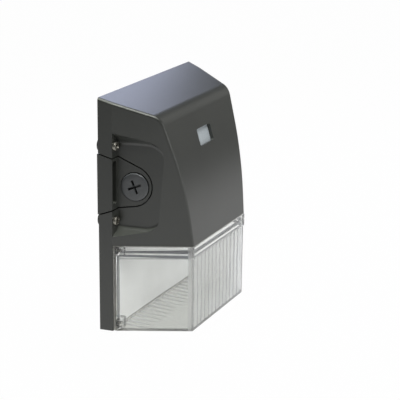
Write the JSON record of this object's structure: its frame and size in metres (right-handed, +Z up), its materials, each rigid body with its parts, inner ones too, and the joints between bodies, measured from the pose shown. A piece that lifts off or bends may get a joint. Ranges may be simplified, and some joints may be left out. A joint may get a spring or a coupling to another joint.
{
  "type": "wall pack light",
  "caption": "Full-height cast wall light: sloped hood with photocell window over a clear fluted lens, scooped side pockets with conduit plugs, on a back box.",
  "frame": {"origin": "on the wall face, on the middle plane, level with the middle of the side pockets", "axes": "+X to the right as seen from the front, +Y into the wall, +Z up"},
  "size_m": [0.1574, 0.0699, 0.19],
  "materials": {
    "cast_paint": "dark bronze powder coat, fine matte grain",
    "box_paint": "dark bronze powder coat on a rougher casting",
    "plug_paint": "dark grey painted plug",
    "screw_steel": "zinc plated steel",
    "lens_plastic": "clear moulded polycarbonate",
    "pane_plastic": "frosted translucent plastic",
    "seal_rubber": "black silicone rubber",
    "pale_rubber": "pale grey silicone rubber",
    "white_panel": "white reflective paint",
    "board_mask": "white solder mask",
    "chip_phosphor": "yellow phosphor in silicone",
    "pad_grey": "grey thermal pad",
    "nylon_white": "natural nylon",
    "nylon_black": "black nylon",
    "driver_shell": "bead-blasted aluminium",
    "lead_red": "red lead insulation",
    "lead_grey": "grey lead insulation",
    "lead_black": "black lead insulation",
    "lead_green": "green lead insulation",
    "connector_orange": "orange twist connector shell",
    "connector_green": "green twist connector shell",
    "ground_brass": "plain brass"
  },
  "bodies": {
    "back_box": {"back_box": "box_paint", "ground_screw": "ground_brass", "ground_lead": "lead_green", "ground_connector": "connector_green"},
    "plug_left": {"closure_plug_left": "plug_paint"},
    "plug_right": {"closure_plug_right": "plug_paint"},
    "cover": {"cover": "cast_paint", "cover_gasket": "seal_rubber", "cover_screws": "screw_steel", "lens": "lens_plastic", "lens_gasket": "pale_rubber", "lens_screws": "screw_steel", "reflector": "white_panel", "thermal_pad": "pad_grey", "led_board": "board_mask", "led_chips": "chip_phosphor", "led_board_screws": "screw_steel", "led_connector": "nylon_white", "led_leads": "lead_red", "lead_grommet": "seal_rubber", "driver_case": "driver_shell", "driver_screws": "screw_steel", "photocell_window": "pane_plastic", "photocell_gasket": "seal_rubber", "photocell_holder": "nylon_black", "photocell_screws": "screw_steel", "photocell_sensor": "nylon_black", "photocell_leads": "lead_grey", "supply_leads": "lead_black", "supply_connectors": "connector_orange"}
  },
  "joints": [
    {"name": "cover_lift_off", "type": "slide", "parent": "back_box", "child": "cover", "axis": [0, -1, 0], "range_m": [0, 0.08]},
    {"name": "plug_left_out", "type": "slide", "parent": "back_box", "child": "plug_left", "axis": [-0.9848, -0.1736, 0], "range_m": [0, 0.025]},
    {"name": "plug_right_out", "type": "slide", "parent": "back_box", "child": "plug_right", "axis": [0.9848, -0.1736, 0], "range_m": [0, 0.025]}
  ]
}
